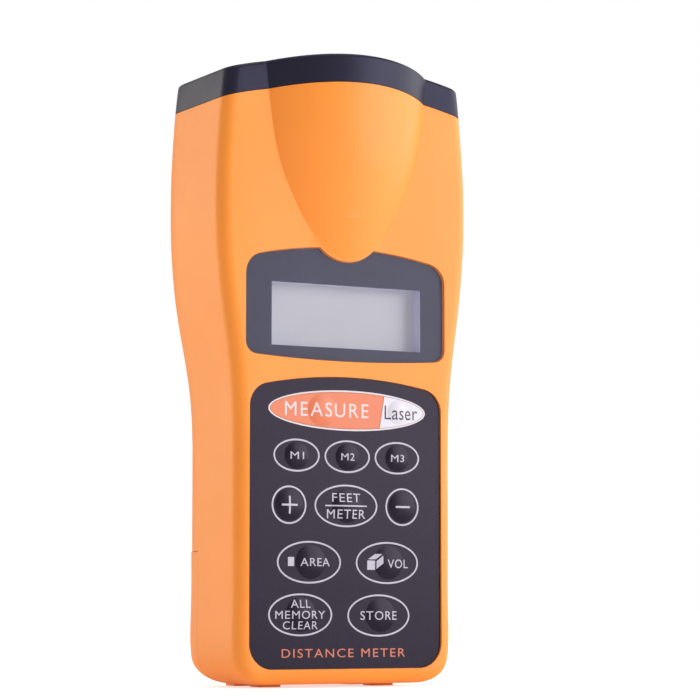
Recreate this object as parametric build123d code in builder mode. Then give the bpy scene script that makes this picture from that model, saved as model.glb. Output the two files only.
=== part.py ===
from build123d import *

import os
from math import cos, radians, sqrt

# Handheld ultrasonic distance measurer with a laser pointer, in millimetres.
# +Z runs up the instrument from its base feet to the horn mouth, the keypad and display
# face -Y, and +X is to the right as seen from the front.
# The origin is on the standing plane, under the middle of the overall width and depth.

os.makedirs("parts", exist_ok=True)

SIDES = (-1, 1)
BEYOND = 50.0             # half width of cutting blocks that reach past the casing
TOWARD_VIEWER = (0, -1, 0)

# ---------------------------------------------------------------- casing dimensions
HEIGHT = 162.0            # crown of the nose cap above the standing plane
Y_FRONT = -16.1           # flat front face
Y_PART = 15.5             # parting plane between the front shell and the rear shell
FOOT_H = 0.8              # the feet lift the casing by this much
R_FRONT_EDGE = 3.5        # rounding of the long front edges
R_BACK_EDGE = 16.0        # rounding of the long back edges
R_BASE_CORNER = 8.0       # rounding of the base, seen from the front
R_BASE_BACK = 7.0         # rounding of the base, seen from the side
BASE_TOP = FOOT_H + R_BASE_CORNER
BASE_ANGLES = (0.0, 12.0, 26.0, 40.0, 54.0, 68.0)    # base sections, round its corner
CROWN_R = 130.0           # arch of the nose cap and of its seam, seen from the front
CAP_SEAM_Z = 154.65       # cap seam on the centre line
WALL = 2.0
SEAM = 0.14               # shadow gap at the casing seams
FRONT_SEAM_Y = Y_PART - SEAM / 2
REAR_SEAM_Y = Y_PART + SEAM / 2

# casing sections: height, half width, depth behind the front face
STATIONS = [
    (BASE_TOP, 31.55, 38.3), (20, 31.55, 38.3), (35, 31.55, 38.3), (50, 31.58, 38.3),
    (60, 31.62, 38.3), (68, 31.78, 38.4), (76, 32.2, 39.0), (84, 33.0, 40.05),
    (92, 34.15, 41.0), (100, 35.25, 41.55), (108, 36.1, 41.65), (116, 36.65, 41.6),
    (123, 36.8, 41.55), (130, 36.75, 41.6), (138, 36.35, 41.8), (146, 35.75, 42.0),
    (152, 35.2, 42.1), (158, 34.5, 41.95), (165, 33.6, 41.5),
]

# horn bulge: height, how far it stands out of the front face
BULGE = [
    (109.6, 0.0), (111.2, 0.62), (112.7, 1.12), (116.0, 2.0), (119.5, 3.1), (126.0, 4.98),
    (133.0, 6.82), (141.0, 8.15), (151.0, 9.15), (162.0, 9.9), (168.0, 10.15),
]
BULGE_AXIS_Y = Y_FRONT + 23.9

# feet
FOOT_X, FOOT_SIZE, FOOT_CORNER, FOOT_ROOT = 16.6, 6.4, 1.2, 0.6
FRONT_FOOT_Y, REAR_FOOT_Y = -2.7, 11.3

# ---------------------------------------------------------------- layers behind the front face
FILM_Y, FILM_T = Y_FRONT + 0.6, 0.4      # keypad overlay
FILM_BACK = FILM_Y + FILM_T
LENS_Y, LENS_T = Y_FRONT + 0.15, 0.8     # display window
LENS_BACK = LENS_Y + LENS_T
MASK_T = 0.15                            # printed border behind the window
MASK_BACK = LENS_BACK + MASK_T
FLOOR_BACK = -12.7                       # inside of the thickened front wall
POST_ROOT = FLOOR_BACK - 0.3             # posts start inside that wall
LCD_Y, LCD_T = -10.8, 2.2
PCB_Y, PCB_T = -7.6, 1.6
BOARD_BACK = PCB_Y + PCB_T
MAT_T, PAD_H = 0.8, 0.8                  # silicone key mat and its raised pads
RECESS_GAP = 0.12                        # round the overlay, the window and the key rings

# ---------------------------------------------------------------- keypad dimensions
# overlay outline
PAD_HALF_W, PAD_Z0, PAD_CROWN_Z, PAD_CROWN_R = 28.0, 4.75, 79.2, 120.0
PAD_TOP_CORNER, PAD_BASE_CORNER = 6.0, 6.5

RING_W = 0.44             # printed ring around each key
KEY_GAP = 0.1
PLUNGER_R = 2.7
PLUNGER_END = -10.2
DISC_RISE = 0.5
KEY_X = 0.33              # the whole key field sits this far right of the middle

# Ring centre x, z, outer width, height; raised disc centre x, z, radius.
# Here x is measured from the middle of the key field.
KEY_FIELD = {
    "m1_key": (-14.75, 58.85, 13.3, 8.4, -14.75, 58.8, 3.5),
    "m2_key": (0.0, 58.85, 13.3, 8.4, 0.0, 58.8, 3.5),
    "m3_key": (14.75, 58.85, 13.3, 8.4, 14.75, 58.8, 3.5),
    "plus_key": (-16.9, 46.2, 9.95, 9.75, -16.9, 46.2, 4.05),
    "unit_key": (-0.35, 46.2, 18.4, 10.9, -0.2, 46.2, 4.35),
    "minus_key": (16.25, 46.2, 9.9, 9.75, 16.25, 46.2, 4.05),
    "area_key": (-11.1, 31.7, 18.45, 10.8, -10.7, 31.8, 4.35),
    "volume_key": (11.75, 31.7, 18.5, 10.8, 12.1, 31.8, 4.35),
    "clear_key": (-13.6, 18.4, 18.35, 10.8, -13.5, 18.5, 4.35),
    "store_key": (9.2, 18.2, 18.35, 10.8, 9.7, 18.3, 4.35),
}
# printed rings (x, z, width, height) and raised discs (x, z, radius) in the casing's own x
RINGS = {name: (x + KEY_X, z, w, h) for name, (x, z, w, h, *_) in KEY_FIELD.items()}
KEY_DISCS = {name: (x + KEY_X, z, r) for name, (*_, x, z, r) in KEY_FIELD.items()}

# one long printed ellipse shared by two keys, which meet at a slanted line
BAR = (0.15 + KEY_X, 70.7, 46.1, 10.4)
BAR_SPLIT_TOP, BAR_SPLIT_LOW = (11.5 + KEY_X, 78.0), (8.9 + KEY_X, 63.0)
BAR_SPLIT_GAP = 0.08      # from the split line to each key
BAR_DISCS = {"measure_key": (-7.4 + KEY_X, 70.6, 4.2), "laser_key": (15.0 + KEY_X, 70.75, 3.1)}
DISCS = KEY_DISCS | BAR_DISCS

# ---------------------------------------------------------------- display dimensions
LENS_HALF_W = 29.2
LENS_TOP_SIDE, LENS_TOP_CROWN, LENS_TOP_CORNER = 109.1, 112.75, 5.4
LENS_BASE_SIDE, LENS_BASE_CROWN, LENS_BASE_CORNER = 84.6, 83.4, 3.2
# right half of the window's notch under the bulge: x, z, and the share of the
# clearance that moves the point outward and downward
NOTCH = [(4.6, 110.55, 0.7, 0.8), (7.5, 112.55, 1.0, 0.3), (9.6, 115.0, 1.0, 0.0)]
NOTCH_TIP_Z = 109.55
NOTCH_GAP = 0.35

VIEW_X, VIEW_HALF_W, VIEW_Z0, VIEW_Z1 = 0.5, 22.0, 86.85, 103.1    # clear area
VIEW_GAP = 0.15           # the frame's opening is this much larger all round
OPENING_HALF_W, OPENING_Z0, OPENING_Z1 = 24.3, 84.7, 105.2         # hole in the shell
GLASS_HALF_W, GLASS_Z0, GLASS_Z1 = 25.4, 84.3, 106.1
GLASS_LEDGE = 2.0         # the rear glass sheet reaches this much lower
DISPLAY_GAP = 0.2         # frame in the shell, and glass in the frame

# ---------------------------------------------------------------- battery door dimensions
DOOR_Y, DOOR_Z = 6.4, 34.7               # its side edges and its top edge
DOOR_PROUD = 0.5          # its back stands this far behind the rear shell
DOOR_GAP = 0.03
RIDGE_COUNT, RIDGE_PITCH, GROOVE_H, GROOVE_Z0 = 5, 2.2, 1.1, 20.6

# ---------------------------------------------------------------- horn and laser dimensions
HORN_Y, MOUTH_R, THROAT_R = -1.0, 19.8, 7.4
HORN_Z0, HORN_Z1 = 127.2, 157.6
HORN_RIM = 1.2            # width and height of the rim round the mouth
SLEEVE_R = 11.3           # outside of the horn's lower sleeve
# ribs in the shells that reach toward that sleeve
RIB_HALF_W, RIB_Z0, RIB_Z1 = 2.2, 120.2, 122.4
RIB_REACH = SLEEVE_R + 0.15
LASER_X, LASER_Y = 25.0, 9.0

# ---------------------------------------------------------------- screw axes
LOW_SCREW_X, LOW_SCREW_Z = 23.5, 40.5
# casing screws: x, z, front end y of the post, seat y of the screw head
CASE_SCREWS = [
    (side * x, z, root, seat)
    for x, z, root, seat in ((LOW_SCREW_X, LOW_SCREW_Z, POST_ROOT, 17.3),
                             (27.0, 124.0, -14.6, 19.5))
    for side in SIDES
]
BOARD_SCREW_X, HIGH_BOARD_SCREW_Z, LOW_BOARD_SCREW_Z = 24.3, 80.0, 9.4
BOARD_SCREWS = [
    (side * BOARD_SCREW_X, z) for z in (HIGH_BOARD_SCREW_Z, LOW_BOARD_SCREW_Z) for side in SIDES
]


# ---------------------------------------------------------------- basic shapes
def front(y):
    """Sketch plane facing the viewer at the given y; its local axes are x and z."""
    return Plane.XZ.offset(-y)


def slab(x0, x1, y0, y1, z0, z1):
    """A plain rectangular block between two corners."""
    with BuildPart() as block:
        with BuildSketch(Plane.XY.offset(z0)):
            with Locations(((x0 + x1) / 2, (y0 + y1) / 2)):
                Rectangle(x1 - x0, y1 - y0)
        extrude(amount=z1 - z0)
    return block.part


def mid_slab(half_width, y0, y1, z0, z1):
    """A block centred on x = 0."""
    return slab(-half_width, half_width, y0, y1, z0, z1)


def post(x, z, radius, y0, y1):
    """A round post along y."""
    with BuildPart() as pin:
        with BuildSketch(front(y1)):
            with Locations((x, z)):
                Circle(radius)
        extrude(amount=y1 - y0)
    return pin.part


def rod(x, y, radius, z0, z1, bore=0.0):
    """A round rod or tube along z."""
    with BuildPart() as pin:
        with BuildSketch(Plane.XY.offset(z0)):
            with Locations((x, y)):
                Circle(radius)
                if bore:
                    Circle(bore, mode=Mode.SUBTRACT)
        extrude(amount=z1 - z0)
    return pin.part


def cable(points, radius):
    """A round wire through the given points."""
    with BuildPart() as wire:
        with BuildLine() as path:
            Spline(*points)
        with BuildSketch(Plane(origin=path.line @ 0, z_dir=path.line % 0)):
            Circle(radius)
        sweep()
    return wire.part


# ---------------------------------------------------------------- casing volumes
def quarter_reach(radius, distance):
    """How far a rounding reaches out at this distance before its centre; full reach past it."""
    return sqrt(max(radius * radius - distance * distance, 0.0)) if distance > 0 else radius


def base_section(z, inset):
    """Height, half width, front y and back y in the rounded base."""
    half_width = (STATIONS[0][1] - R_BASE_CORNER
                  + quarter_reach(R_BASE_CORNER - inset, BASE_TOP - z))
    face = (Y_FRONT + R_FRONT_EDGE
            - quarter_reach(R_FRONT_EDGE - inset, FOOT_H + R_FRONT_EDGE - z))
    back = (Y_FRONT + STATIONS[0][2] - R_BASE_BACK
            + quarter_reach(R_BASE_BACK - inset, FOOT_H + R_BASE_BACK - z))
    return z, half_width, face, back


def casing_volume(inset):
    """The casing's outer form shrunk inward by inset, lofted through its sections."""
    corner = R_BASE_CORNER - inset
    sections = [base_section(BASE_TOP - corner * cos(radians(a)), inset) for a in BASE_ANGLES]
    sections += [(z, half_width - inset, Y_FRONT + inset, Y_FRONT + depth - inset)
                 for z, half_width, depth in STATIONS]
    rf, rb = R_FRONT_EDGE - inset, R_BACK_EDGE - inset    # front and back rounding
    k = 1.0 - sqrt(0.5)       # inset of an arc's middle, as a share of its radius
    with BuildPart() as volume:
        for z, w, face, back in sections:
            with BuildSketch(Plane.XY.offset(z)):
                with BuildLine():
                    Line((-w + rf, face), (w - rf, face))
                    ThreePointArc((w - rf, face), (w - rf * k, face + rf * k), (w, face + rf))
                    Line((w, face + rf), (w, back - rb))
                    ThreePointArc((w, back - rb), (w - rb * k, back - rb * k), (w - rb, back))
                    Line((w - rb, back), (-w + rb, back))
                    ThreePointArc((-w + rb, back), (-w + rb * k, back - rb * k), (-w, back - rb))
                    Line((-w, back - rb), (-w, face + rf))
                    ThreePointArc((-w, face + rf), (-w + rf * k, face + rf * k), (-w + rf, face))
                make_face()
        loft()
    return volume.part


def bulge_volume(inset, low=109.0):
    """The horn bulge turned about its own axis, shrunk by inset, from height low upward."""
    points = [(Y_FRONT - proud + inset, z) for z, proud in BULGE if z >= low]
    with BuildPart() as volume:
        with BuildSketch(Plane.YZ):
            with BuildLine():
                Spline(*points)
                Polyline(points[-1], (BULGE_AXIS_Y, points[-1][1]),
                         (BULGE_AXIS_Y, points[0][1]), points[0])
            make_face()
        revolve(axis=Axis((0, BULGE_AXIS_Y, 0), (0, 0, 1)), revolution_arc=60.0)
        mirror(about=Plane.YZ)
    return volume.part


def under_arch(crown, y0=-40.0, y1=40.0, floor=-20.0):
    """Everything between floor and the arched cylinder that crests at height crown."""
    half = 60.0
    side = crown - CROWN_R + sqrt(CROWN_R ** 2 - half ** 2)
    with BuildPart() as block:
        with BuildSketch(front(y1)):
            with BuildLine():
                ThreePointArc((-half, side), (0, crown), (half, side))
                Polyline((half, side), (half, floor), (-half, floor), (-half, side))
            make_face()
        extrude(amount=y1 - y0)
    return block.part


def solid_casing():
    """The whole casing as a solid."""
    with BuildPart() as solid:
        add(casing_volume(0.0))
        add(bulge_volume(0.0))
    return solid.part


def casing_walls():
    """The hollow casing, thicker behind the keypad and the display."""
    with BuildPart() as hollow:
        add(cavity)
        add(mid_slab(BEYOND, -30, FLOOR_BACK, -10, 116), mode=Mode.SUBTRACT)
    with BuildPart() as shell:
        add(outer)
        add(hollow.part, mode=Mode.SUBTRACT)
        add(bulge_volume(WALL, low=119.0), mode=Mode.SUBTRACT)
    return shell.part


outer = solid_casing()
cavity = casing_volume(WALL)
walls = casing_walls()


# ---------------------------------------------------------------- keypad and window outlines
def pad_outline(grow, y):
    """Keypad overlay outline grown outward by grow."""
    w = PAD_HALF_W
    side = PAD_CROWN_Z - PAD_CROWN_R + sqrt(PAD_CROWN_R * PAD_CROWN_R - w * w)
    with BuildSketch(front(y)) as outline:
        with BuildLine():
            ThreePointArc((-w, side), (0, PAD_CROWN_Z), (w, side))
            Polyline((w, side), (w, PAD_Z0), (-w, PAD_Z0), (-w, side))
        make_face()
        fillet(outline.vertices().group_by(Axis.Y)[-1], PAD_TOP_CORNER)
        fillet(outline.vertices().group_by(Axis.Y)[0], PAD_BASE_CORNER)
        if grow:
            offset(amount=grow)
    return outline.sketch


def lens_outline(grow, y):
    """Display window outline grown outward by grow: arched, notched for the tip of the bulge."""
    w = LENS_HALF_W
    gap = NOTCH_GAP - grow
    right = [(nx + gap * out, nz - gap * down) for nx, nz, out, down in NOTCH]
    left = [(-nx, nz) for nx, nz in reversed(right)]
    with BuildSketch(front(y)) as outline:
        with BuildLine():
            ThreePointArc((-w, LENS_TOP_SIDE), (0, LENS_TOP_CROWN), (w, LENS_TOP_SIDE))
            Line((w, LENS_TOP_SIDE), (w, LENS_BASE_SIDE))
            ThreePointArc((w, LENS_BASE_SIDE), (0, LENS_BASE_CROWN), (-w, LENS_BASE_SIDE))
            Line((-w, LENS_BASE_SIDE), (-w, LENS_TOP_SIDE))
        make_face()
        fillet(outline.vertices().group_by(Axis.Y)[-1], LENS_TOP_CORNER)
        fillet(outline.vertices().group_by(Axis.Y)[0], LENS_BASE_CORNER)
        if grow:
            offset(amount=grow)
        with BuildLine():
            Spline(*left, (0, NOTCH_TIP_Z - gap), *right)
            Line(right[-1], left[0])
        make_face(mode=Mode.SUBTRACT)
    return outline.sketch


def key_openings(shrink, y):
    """The key ellipses, measured inward from the outside of their printed rings."""
    with BuildSketch(front(y)) as openings:
        for x, z, width, height in (*RINGS.values(), BAR):
            with Locations((x, z)):
                Ellipse(width / 2 - shrink, height / 2 - shrink)
    return openings.sketch


# ---------------------------------------------------------------- casing pieces
def foot_pair(y):
    """Two feet, rooted a little way into the base."""
    with BuildPart() as feet:
        for side in SIDES:
            with BuildSketch(Plane.XY.offset(FOOT_H + FOOT_ROOT)):
                with Locations((side * FOOT_X, y)):
                    RectangleRounded(FOOT_SIZE, FOOT_SIZE, FOOT_CORNER)
            extrude(amount=-FOOT_H - FOOT_ROOT)
    return feet.part


def front_shell():
    pocket_y = FILM_BACK + 1.3
    with BuildPart() as shell:
        add(walls)
        add(under_arch(CAP_SEAM_Z - SEAM / 2, y1=FRONT_SEAM_Y), mode=Mode.INTERSECT)
        add(mid_slab(BEYOND, DOOR_Y - DOOR_GAP, 40, -5, DOOR_Z + SEAM / 2), mode=Mode.SUBTRACT)
        # recess of the keypad, the key pockets and the plunger holes
        extrude(pad_outline(RECESS_GAP, FILM_BACK), amount=5, dir=TOWARD_VIEWER,
                mode=Mode.SUBTRACT)
        extrude(key_openings(RING_W - RECESS_GAP, pocket_y), amount=5, dir=TOWARD_VIEWER,
                mode=Mode.SUBTRACT)
        for x, z, _ in DISCS.values():
            add(post(x, z, PLUNGER_R + 0.3, -20, -11), mode=Mode.SUBTRACT)
        # recess of the display window and the opening behind it
        extrude(lens_outline(RECESS_GAP, MASK_BACK), amount=5, dir=TOWARD_VIEWER,
                mode=Mode.SUBTRACT)
        add(mid_slab(OPENING_HALF_W, -20, -11, OPENING_Z0, OPENING_Z1), mode=Mode.SUBTRACT)
        # posts of the casing screws and of the circuit board, with pilot holes
        for x, z, root, _ in CASE_SCREWS:
            add(post(x, z, 3.2, root, FRONT_SEAM_Y))
            add(post(x, z, 1.35, 2.0, Y_PART + 1), mode=Mode.SUBTRACT)
        for x, z in BOARD_SCREWS:
            add(post(x, z, 2.8, POST_ROOT, PCB_Y))
            add(post(x, z, 1.05, -12.4, PCB_Y + 1), mode=Mode.SUBTRACT)
        # rib that carries the horn sleeve
        add(mid_slab(RIB_HALF_W, -19.5, HORN_Y - RIB_REACH, RIB_Z0, RIB_Z1))
        add(foot_pair(FRONT_FOOT_Y))
    return shell.part


def screw_boss(x, z):
    """Boss inside the rear shell, trimmed to the casing's outer form."""
    with BuildPart() as boss:
        add(post(x, z, 4.3, REAR_SEAM_Y, 30))
        add(outer, mode=Mode.INTERSECT)
    return boss.part


def rear_shell():
    with BuildPart() as shell:
        add(walls)
        add(under_arch(CAP_SEAM_Z - SEAM / 2, y0=REAR_SEAM_Y, floor=DOOR_Z + SEAM / 2),
            mode=Mode.INTERSECT)
        # bosses, with the through hole and the well for the screw head
        for x, z, _, seat in CASE_SCREWS:
            add(screw_boss(x, z))
            add(post(x, z, 1.5, Y_PART - 1, 30), mode=Mode.SUBTRACT)
            add(post(x, z, 2.9, seat, 30), mode=Mode.SUBTRACT)
        add(mid_slab(RIB_HALF_W, HORN_Y + RIB_REACH + 6.2, 24.5, RIB_Z0, RIB_Z1))
    return shell.part


def battery_door():
    tongue_half_w, tongue_y, tongue_z = 8, 18.9, 29.5
    with BuildPart() as door:
        with Locations((0, DOOR_PROUD, 0)):
            add(casing_volume(0.0))
        add(mid_slab(BEYOND, DOOR_Y + DOOR_GAP, 40, -5, DOOR_Z - SEAM / 2), mode=Mode.INTERSECT)
        add(cavity, mode=Mode.SUBTRACT)
        # grooves that leave the finger ridges
        for i in range(RIDGE_COUNT):
            z = GROOVE_Z0 + RIDGE_PITCH * i
            add(mid_slab(10, 22.15, 30, z, z + GROOVE_H), mode=Mode.SUBTRACT)
        # tongue that slips behind the rear shell, and its root on the door
        add(mid_slab(tongue_half_w, tongue_y, 20.05, tongue_z, 38.2))
        add(mid_slab(tongue_half_w, tongue_y, 21.2, tongue_z, 33.5))
        add(foot_pair(REAR_FOOT_Y))
    return door.part


def cap_lip():
    """Core of the lip that plugs into the shells below the cap seam."""
    inset = WALL + 0.15
    with BuildPart() as lip:
        add(casing_volume(inset))
        add(bulge_volume(inset, low=125.0))
        add(under_arch(CAP_SEAM_Z + 0.5), mode=Mode.INTERSECT)
        add(under_arch(CAP_SEAM_Z - 2.6), mode=Mode.SUBTRACT)
    return lip.part


def cap_hollow():
    """Inside of the cap and its lip."""
    inset, crown_wall = 3.3, 2.2
    with BuildPart() as hollow:
        add(casing_volume(inset))
        add(bulge_volume(inset, low=125.0))
        add(under_arch(HEIGHT - crown_wall), mode=Mode.INTERSECT)
    return hollow.part


def mouth_collar():
    """Core of the collar around the horn mouth."""
    with BuildPart() as collar:
        add(rod(0, HORN_Y, MOUTH_R + 1.4, HORN_Z1 + 0.1, 165))
        add(under_arch(HEIGHT - 1.0), mode=Mode.INTERSECT)
    return collar.part


def nose_cap():
    with BuildPart() as cap:
        add(outer)
        add(under_arch(HEIGHT), mode=Mode.INTERSECT)
        add(under_arch(CAP_SEAM_Z + SEAM / 2), mode=Mode.SUBTRACT)
        fillet(cap.faces().sort_by(Axis.Z)[-1].edges(), 1.0)
        add(cap_lip())
        add(cap_hollow(), mode=Mode.SUBTRACT)
        add(mouth_collar())
        add(rod(0, HORN_Y, MOUTH_R, 150, 165), mode=Mode.SUBTRACT)
        # laser port: a stepped hole for the window
        add(rod(LASER_X, LASER_Y, 4.6, 156.6, 158.4))
        add(rod(LASER_X, LASER_Y, 2.9, 150, 165), mode=Mode.SUBTRACT)
        add(rod(LASER_X, LASER_Y, 3.65, 150, 158.3), mode=Mode.SUBTRACT)
    return cap.part


# ---------------------------------------------------------------- screws
def casing_screw(x, z, seat):
    """Screw with a domed, cross-slotted head whose underside is at y = seat."""
    head_r, slot_half_l, slot_half_w = 2.4, 1.5, 0.28
    slot_y0, slot_y1 = seat + 0.9, seat + 3
    with BuildPart() as screw:
        add(post(x, z, 1.2, seat - 12.0, seat + 0.4))
        with BuildSketch(Plane.XY.offset(z)):
            with BuildLine():
                Polyline((x, seat), (x + head_r, seat), (x + head_r, seat + 0.8))
                ThreePointArc((x + head_r, seat + 0.8), (x + 1.5, seat + 1.55), (x, seat + 1.85))
                Line((x, seat + 1.85), (x, seat))
            make_face()
        revolve(axis=Axis((x, 0, z), (0, 1, 0)))
        for half_x, half_z in ((slot_half_l, slot_half_w), (slot_half_w, slot_half_l)):
            add(slab(x - half_x, x + half_x, slot_y0, slot_y1, z - half_z, z + half_z),
                mode=Mode.SUBTRACT)
    return screw.part


def casing_screws():
    with BuildPart() as screws:
        for x, z, _, seat in CASE_SCREWS:
            add(casing_screw(x, z, seat))
    return screws.part


def board_screw(x, z):
    """Slotted screw seated on the back of the circuit board."""
    seat = BOARD_BACK
    with BuildPart() as screw:
        add(post(x, z, 0.95, PCB_Y - 4.2, seat + 0.2))
        add(post(x, z, 2.1, seat, seat + 1.2))
        fillet(screw.edges().filter_by(GeomType.CIRCLE).sort_by(Axis.Y)[-1], 0.6)
        add(slab(x - 1.3, x + 1.3, seat + 0.55, seat + 3, z - 0.25, z + 0.25), mode=Mode.SUBTRACT)
    return screw.part


def board_screws():
    with BuildPart() as screws:
        for x, z in BOARD_SCREWS:
            add(board_screw(x, z))
    return screws.part


# ---------------------------------------------------------------- keypad
def keypad_overlay():
    with BuildPart() as overlay:
        extrude(pad_outline(0.0, FILM_BACK), amount=FILM_T, dir=TOWARD_VIEWER)
        extrude(key_openings(RING_W, FILM_BACK + 1), amount=3, dir=TOWARD_VIEWER,
                mode=Mode.SUBTRACT)
    return overlay.part


def disc_and_plunger(x, z, radius):
    """Raised round cushion on a key and the plunger behind it."""
    top, back = FILM_Y - DISC_RISE, FILM_Y + 0.2
    ball = (radius * radius + DISC_RISE * DISC_RISE) / (2 * DISC_RISE)    # radius of the dome
    mid = ball - DISC_RISE - sqrt(ball * ball - 0.25 * radius * radius)
    with BuildPart() as piece:
        with BuildSketch(Plane.XY.offset(z)):
            with BuildLine():
                ThreePointArc((x, top), (x + 0.5 * radius, FILM_Y + mid), (x + radius, FILM_Y))
                Polyline((x + radius, FILM_Y), (x + radius, back), (x, back), (x, top))
            make_face()
        revolve(axis=Axis((x, 0, z), (0, 1, 0)))
        add(post(x, z, PLUNGER_R, FILM_BACK - 0.1, PLUNGER_END))
    return piece.part


def oval_key(name):
    """A key that fills its own printed ring."""
    x, z, width, height = RINGS[name]
    with BuildPart() as key:
        with BuildSketch(front(FILM_BACK)):
            with Locations((x, z)):
                Ellipse(width / 2 - RING_W - KEY_GAP, height / 2 - RING_W - KEY_GAP)
        extrude(amount=FILM_T)
        add(disc_and_plunger(*KEY_DISCS[name]))
    return key.part


def bar_key(name):
    """The part of the long bar on one side of its slanted split."""
    side = -1 if name == "measure_key" else 1
    (top_x, top_z), (low_x, low_z) = BAR_SPLIT_TOP, BAR_SPLIT_LOW
    gap, far = side * BAR_SPLIT_GAP, side * 40
    x, z, width, height = BAR
    with BuildPart() as key:
        with BuildSketch(front(FILM_BACK)):
            with Locations((x, z)):
                Ellipse(width / 2 - RING_W - KEY_GAP, height / 2 - RING_W - KEY_GAP)
            with BuildLine():
                Polyline((top_x + gap, top_z), (far, top_z), (far, low_z), (low_x + gap, low_z),
                         (top_x + gap, top_z))
            make_face(mode=Mode.INTERSECT)
        extrude(amount=FILM_T)
        add(disc_and_plunger(*BAR_DISCS[name]))
    return key.part


def mat_pad(x, z):
    """Tapered pad on the front of the key mat."""
    overlap = 0.1
    with BuildPart() as pad:
        with BuildSketch(front(PCB_Y - MAT_T + overlap)):
            with Locations((x, z)):
                Circle(3.5)
        extrude(amount=PAD_H + overlap, taper=30)
    return pad.part


def key_mat():
    with BuildPart() as mat:
        with BuildSketch(front(PCB_Y)):
            with Locations((0, 44.5)):
                RectangleRounded(45.2, 63.8, 2.0)
            # clearance for the lower casing posts
            with Locations((-LOW_SCREW_X, LOW_SCREW_Z), (LOW_SCREW_X, LOW_SCREW_Z)):
                Circle(3.9, mode=Mode.SUBTRACT)
        extrude(amount=MAT_T)
        for x, z, _ in DISCS.values():
            add(mat_pad(x, z))
    return mat.part


# ---------------------------------------------------------------- display
def display_lens():
    with BuildPart() as lens:
        extrude(lens_outline(0.0, LENS_BACK), amount=LENS_T, dir=TOWARD_VIEWER)
    return lens.part


def view_block(gap, y0, y1):
    """Cutting block over the clear area, larger by gap all round."""
    half_width = VIEW_HALF_W + gap
    return slab(VIEW_X - half_width, VIEW_X + half_width, y0, y1, VIEW_Z0 - gap, VIEW_Z1 + gap)


def display_mask():
    with BuildPart() as mask:
        extrude(lens_outline(-0.05, MASK_BACK), amount=MASK_T, dir=TOWARD_VIEWER)
        add(view_block(0.0, -20, -10), mode=Mode.SUBTRACT)
    return mask.part


def lcd_frame():
    gap = DISPLAY_GAP
    with BuildPart() as frame:
        add(mid_slab(OPENING_HALF_W - gap, MASK_BACK, -12.5, OPENING_Z0 + gap, OPENING_Z1 - gap))
        add(mid_slab(27.0, -12.65, PCB_Y, 83.1, 107.3))
        fillet(frame.edges().filter_by(Axis.Y).group_by(Axis.X)[0], 1.0)
        fillet(frame.edges().filter_by(Axis.Y).group_by(Axis.X)[-1], 1.0)
        add(view_block(VIEW_GAP, -20, -5), mode=Mode.SUBTRACT)
        # seat of the glass
        add(mid_slab(GLASS_HALF_W + gap, LCD_Y, -5, GLASS_Z0 - gap, GLASS_Z1 + gap),
            mode=Mode.SUBTRACT)
    return frame.part


def lcd_glass():
    middle = LCD_Y + LCD_T / 2
    with BuildPart() as glass:
        add(mid_slab(GLASS_HALF_W, LCD_Y, middle, GLASS_Z0 + GLASS_LEDGE, GLASS_Z1))
        add(mid_slab(GLASS_HALF_W, middle, LCD_Y + LCD_T, GLASS_Z0, GLASS_Z1))
    return glass.part


def zebra_strips():
    with BuildPart() as strips:
        for z in (84.4, 104.0):
            add(mid_slab(24.0, LCD_Y + LCD_T, PCB_Y, z, z + 2.0))
    return strips.part


# ---------------------------------------------------------------- circuit board and its parts
CRYSTAL_H = 3.5
MCU_Z, MCU_HALF = 64.0, 6.0
MCU_PINS, MCU_PIN_HALF_W = 11, 0.2       # pins per side, at a pitch of 1
MCU_PIN_SPANS = ((-7.2, -5.9), (5.9, 7.2))

AMPLIFIERS = ((-15.0, 97.0), (-15.0, 87.0), (4.0, 92.0))    # centre x, z

# x, z, radius, height
CAPACITORS = (
    (17.0, 96.0, 3.15, 9.0), (17.0, 87.0, 3.15, 9.0),
    (-22.0, 64.0, 2.5, 8.0), (-22.0, 56.0, 2.5, 8.0),
)

# x, z, 1 where the long side runs along z
PASSIVES = (
    (-8, 78, 0), (-3, 78, 0), (2, 78, 0), (7, 78, 1), (12, 78, 1),
    (-8, 52, 0), (-2, 52, 1), (4, 52, 0), (10, 52, 0), (-22, 104, 1),
    (-5, 86, 0), (-5, 92, 1), (-5, 98, 0), (10, 88, 1), (10, 96, 1),
)

TRANSFORMER_X, TRANSFORMER_Z = -13.5, 106.0
BUZZER_X, BUZZER_Z = -17.0, 75.0


def main_board():
    with BuildPart() as board:
        with BuildSketch(front(BOARD_BACK)):
            with Locations((0, 58.5)):
                RectangleRounded(54.6, 107.0, 2.0)
            # side notches for the lower casing posts
            with Locations((24.6, LOW_SCREW_Z), (-24.6, LOW_SCREW_Z)):
                Rectangle(9.6, 7.6, mode=Mode.SUBTRACT)
            for x, z in BOARD_SCREWS:
                with Locations((x, z)):
                    Circle(1.3, mode=Mode.SUBTRACT)
        extrude(amount=PCB_T)
    return board.part


def mcu_chip():
    pin, pin_top = MCU_PIN_HALF_W, BOARD_BACK + 0.5
    with BuildPart() as chip:
        add(mid_slab(MCU_HALF, BOARD_BACK + 0.15, BOARD_BACK + 1.7,
                     MCU_Z - MCU_HALF, MCU_Z + MCU_HALF))
        chamfer(chip.edges().group_by(Axis.Y)[-1], 0.3)
        for i in range(MCU_PINS):
            along = i - (MCU_PINS - 1) / 2
            for a, b in MCU_PIN_SPANS:
                add(slab(along - pin, along + pin, BOARD_BACK, pin_top, MCU_Z + a, MCU_Z + b))
            for a, b in MCU_PIN_SPANS:
                z = MCU_Z + along
                add(slab(a, b, BOARD_BACK, pin_top, z - pin, z + pin))
    return chip.part


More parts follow.
